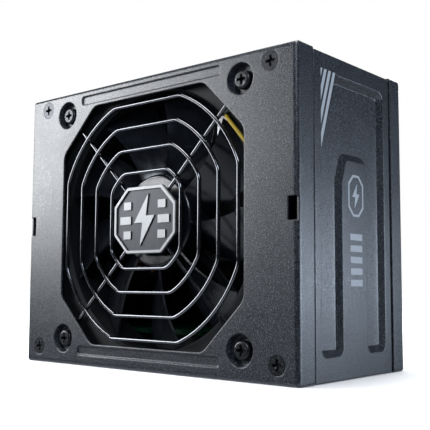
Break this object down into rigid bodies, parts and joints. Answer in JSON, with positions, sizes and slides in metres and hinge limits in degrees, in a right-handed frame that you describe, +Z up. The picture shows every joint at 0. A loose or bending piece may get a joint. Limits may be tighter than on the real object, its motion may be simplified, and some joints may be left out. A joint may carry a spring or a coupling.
{
  "type": "computer power supply",
  "caption": "Compact computer power supply: folded steel case, octagonal fan opening with wire guard, cooling fan, mains inlet with rocker switch, and modular cable sockets.",
  "frame": {"origin": "middle of the underside of the case, level with the flange edges that it stands on", "axes": "+X along the case's 125 mm width, -Y out of the fan face, +Z up towards the mains face"},
  "size_m": [0.125, 0.0636, 0.1025],
  "materials": {
    "case_paint": "fine-textured satin black powder coat",
    "print_ink": "light grey screen print",
    "screw_black": "black zinc, semi-gloss",
    "guard_wire": "black nickel wire, glossy",
    "badge_field": "dark grey satin",
    "badge_silver": "brushed silver",
    "fan_plastic": "moulded black, slight sheen",
    "bright_steel": "zinc plated",
    "magnet_black": "bonded ferrite",
    "bronze": "sintered bronze",
    "lamination": "stacked laminations",
    "copper_wire": "enamelled copper",
    "board_green": "solder mask",
    "wire_black": "soft sleeve",
    "wire_yellow": "soft sleeve",
    "wire_green": "green and yellow sleeve",
    "white_nylon": "moulded nylon",
    "black_plastic": "moulded, fine grain",
    "contact_metal": "tin plated",
    "standoff_brass": "turned brass",
    "clear_film": "smoked insulating film",
    "capacitor_sleeve": "shrink sleeve",
    "sink_aluminium": "extruded",
    "ferrite": "sintered ferrite",
    "yellow_tape": "polyester tape",
    "disc_blue": "epoxy dipped"
  },
  "bodies": {
    "root": {"fan_cover": "case_paint", "back_cover": "case_paint", "side_panel_right": "case_paint", "side_panel_left": "case_paint", "side_marks_right": "print_ink", "ac_panel": "case_paint", "socket_panel": "case_paint", "cover_screws": "screw_black", "fan_screws": "screw_black", "fan_guard": "guard_wire", "badge_plate": "badge_field", "badge_rim": "badge_silver", "badge_emblem": "badge_silver", "fan_frame": "fan_plastic", "fan_bearing": "bronze", "stator_core": "lamination", "stator_coils": "copper_wire", "fan_circuit_board": "board_green", "fan_wires": "wire_black", "fan_wire_yellow": "wire_yellow", "fan_plug": "white_nylon", "mains_wires": "wire_black", "ground_wire": "wire_green", "ground_screw": "bright_steel", "inlet_housing": "black_plastic", "inlet_pins": "contact_metal", "switch_housing": "black_plastic", "switch_terminals": "contact_metal", "cable_sockets": "black_plastic", "socket_pins": "contact_metal", "socket_board": "board_green", "bus_bars": "copper_wire", "main_board": "board_green", "board_standoffs": "standoff_brass", "board_screws": "bright_steel", "insulation_sheet": "clear_film", "bulk_capacitor": "capacitor_sleeve", "output_capacitors": "capacitor_sleeve", "supervisor_board": "board_green", "standby_transformer": "yellow_tape", "primary_heat_sink": "sink_aluminium", "secondary_heat_sink": "sink_aluminium", "power_transistors": "black_plastic", "bridge_rectifier": "black_plastic", "pfc_choke_core": "ferrite", "pfc_choke_winding": "copper_wire", "choke_cradle": "black_plastic", "line_chokes": "ferrite", "line_choke_windings": "copper_wire", "film_capacitors": "yellow_tape", "transformer_core": "ferrite", "transformer_windings": "yellow_tape", "transformer_bobbin": "black_plastic", "relay": "black_plastic", "input_protection": "disc_blue"},
    "rotor": {"fan_impeller": "fan_plastic", "rotor_yoke": "bright_steel", "rotor_magnet": "magnet_black", "fan_shaft": "bright_steel"},
    "rocker": {"switch_rocker": "black_plastic"}
  },
  "joints": [
    {"name": "fan_spin", "type": "hinge", "parent": "root", "child": "rotor", "pos_m": [0, -0.02125, 0.0505], "axis": [0, 1, 0], "continuous": true},
    {"name": "switch_rock", "type": "hinge", "parent": "root", "child": "rocker", "pos_m": [-0.008, 0.00025, 0.0947], "axis": [1, 0, 0], "range_deg": [0, 24]}
  ]
}
